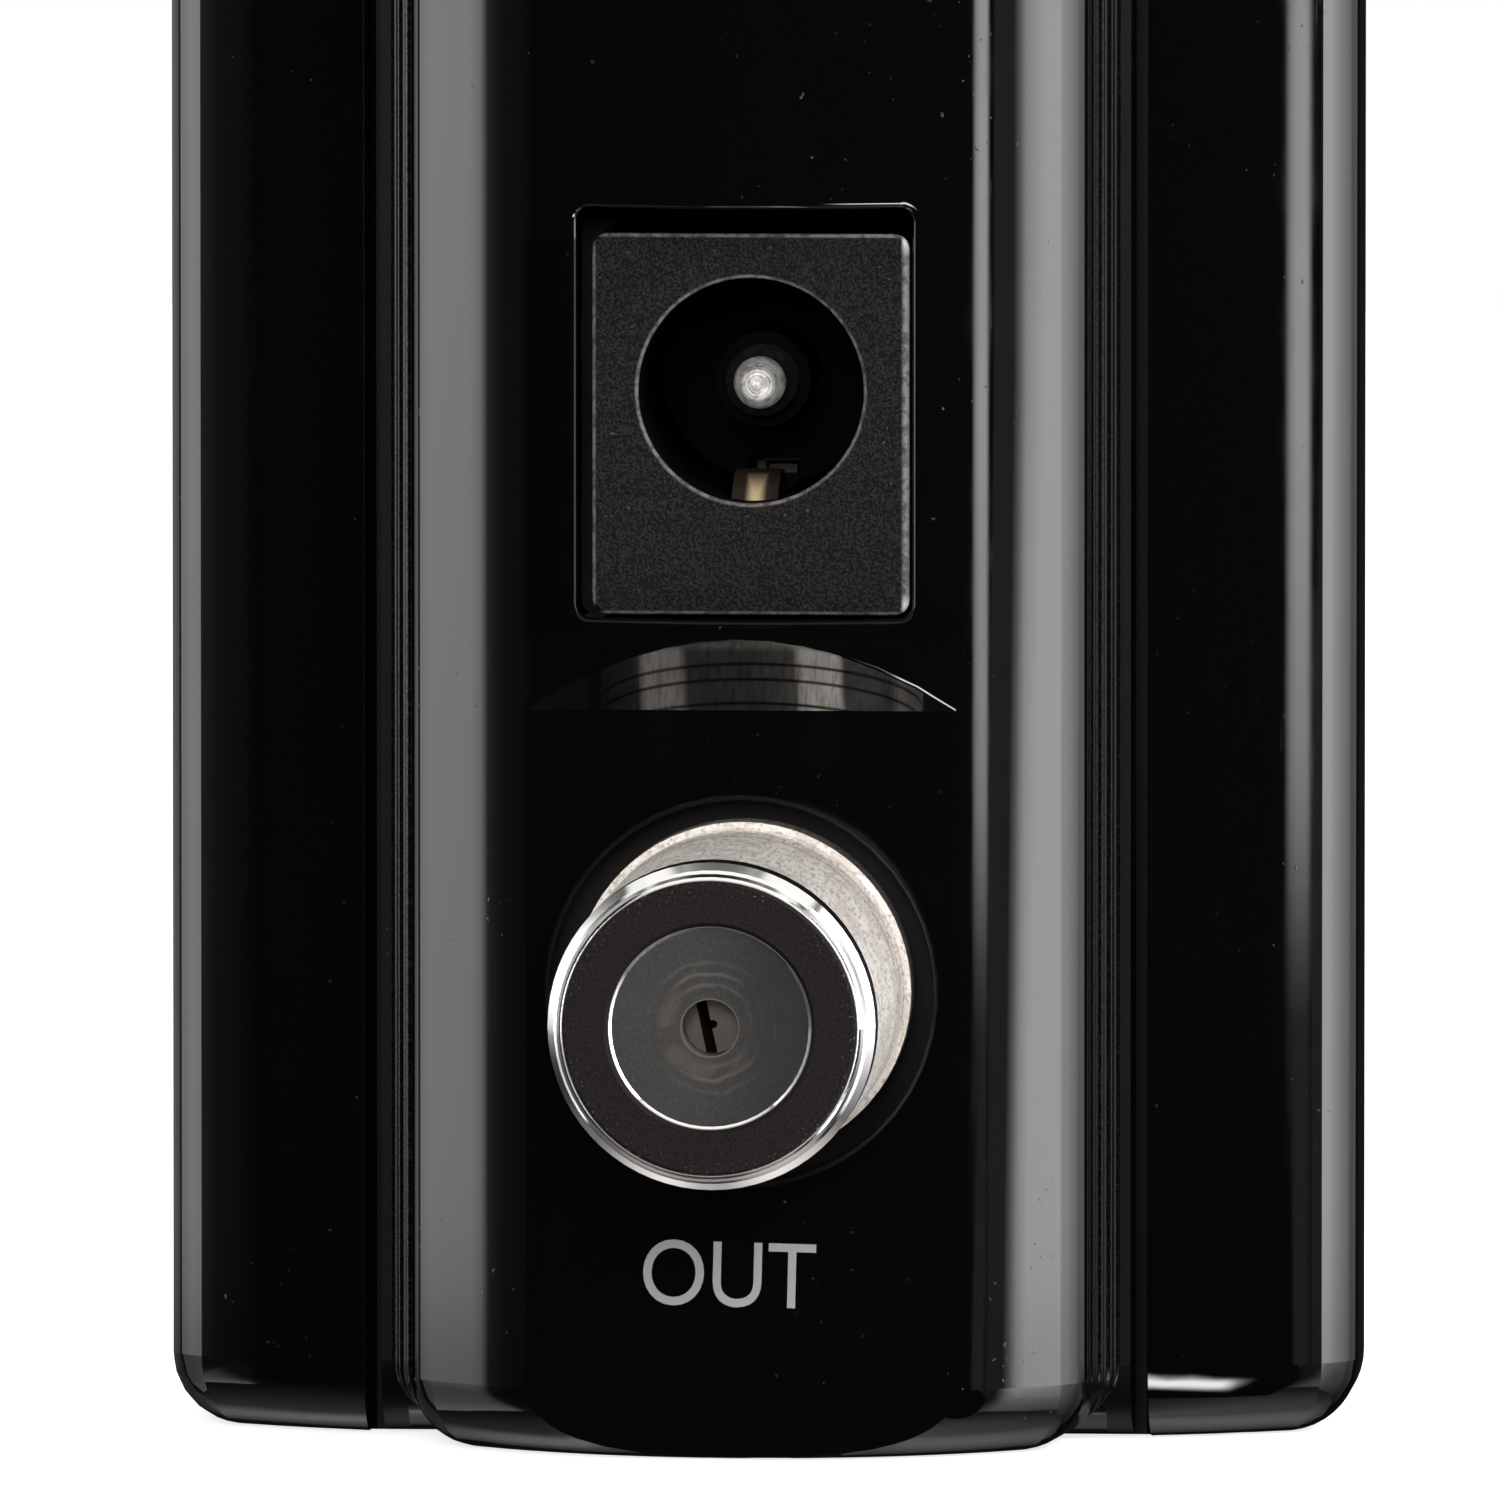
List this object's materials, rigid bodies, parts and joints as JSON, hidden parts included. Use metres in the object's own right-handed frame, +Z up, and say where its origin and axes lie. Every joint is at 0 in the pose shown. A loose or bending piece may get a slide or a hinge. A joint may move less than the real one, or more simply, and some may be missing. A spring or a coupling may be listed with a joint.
{
  "type": "indoor radio antenna",
  "caption": "Slim upright indoor antenna bar with a raised spine on the back that holds an aerial socket and a power socket.",
  "frame": {"origin": "on the flat bottom face, under the middle of the bar", "axes": "+Z up along the bar, -Y out of the side with the sockets, +X to the right of that side"},
  "size_m": [0.034, 0.0298, 0.225],
  "materials": {
    "housing_gloss": "high gloss, black",
    "board_laminate": "green solder mask",
    "copper_foil": "bare copper with a tarnish film",
    "socket_plastic": "fine-grained matt black",
    "contact_plating": "tin plated, bright",
    "contact_spring": "rolled brass, satin",
    "nickel_plating": "bright nickel with a speckled satin side",
    "socket_core": "translucent grey",
    "cast_base": "as cast, plated",
    "tinplate": "rolled tinplate",
    "chip_moulding": "moulded epoxy",
    "chip_ceramic": "fired ceramic with tinned ends",
    "capacitor_can": "drawn aluminium",
    "ferrite": "sintered, dark grey",
    "winding_wire": "enamelled copper",
    "cable_jacket": "soft black sleeve",
    "lamp_body": "clear resin on white",
    "light_guide_clear": "clear, polished end",
    "ballast_steel": "plain mill finish",
    "screw_steel": "zinc plated"
  },
  "bodies": {
    "root": {"front_shell": "housing_gloss", "back_frame": "housing_gloss", "spine_cover": "housing_gloss", "main_board": "board_laminate", "lower_radiator": "copper_foil", "upper_radiator": "copper_foil", "power_socket_housing": "socket_plastic", "power_socket_pin": "contact_plating", "power_socket_spring": "contact_spring", "power_socket_side_tag": "contact_plating", "aerial_socket_barrel": "nickel_plating", "aerial_socket_insulator": "socket_core", "aerial_socket_contact": "contact_spring", "aerial_socket_base": "cast_base", "shield_can": "tinplate", "amplifier_chip": "chip_moulding", "chip_components": "chip_ceramic", "voltage_regulator": "chip_moulding", "smoothing_capacitor": "capacitor_can", "input_choke": "ferrite", "balun_core": "ferrite", "balun_windings": "winding_wire", "feed_cable": "cable_jacket", "power_led": "lamp_body", "light_guide": "light_guide_clear", "ballast_bars": "ballast_steel", "housing_screws": "screw_steel"}
  },
  "joints": []
}
